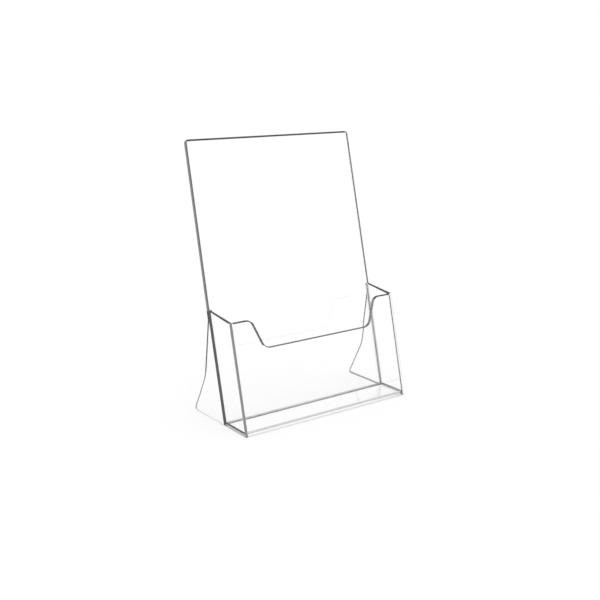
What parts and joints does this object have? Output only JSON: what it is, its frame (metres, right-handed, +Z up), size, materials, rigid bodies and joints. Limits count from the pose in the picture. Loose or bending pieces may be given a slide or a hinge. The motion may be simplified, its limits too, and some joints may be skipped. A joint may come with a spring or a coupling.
{
  "type": "magazine rack",
  "caption": "Clear acrylic countertop holder with a tall leaning back, a low pocket with a U-shaped hand cut-out, and rear legs.",
  "frame": {"origin": "on the table, midway between the two sides and midway between the front edge and the back panel's overhanging top", "axes": "+X to the right for someone facing the pocket, +Y towards the back, +Z up"},
  "size_m": [0.226, 0.118, 0.3045],
  "materials": {
    "clear_acrylic": "clear cast sheet with polished cut edges"
  },
  "bodies": {
    "root": {"back_panel": "clear_acrylic", "front_panel": "clear_acrylic", "pocket_floor": "clear_acrylic", "left_side_panel": "clear_acrylic", "right_side_panel": "clear_acrylic"}
  },
  "joints": []
}
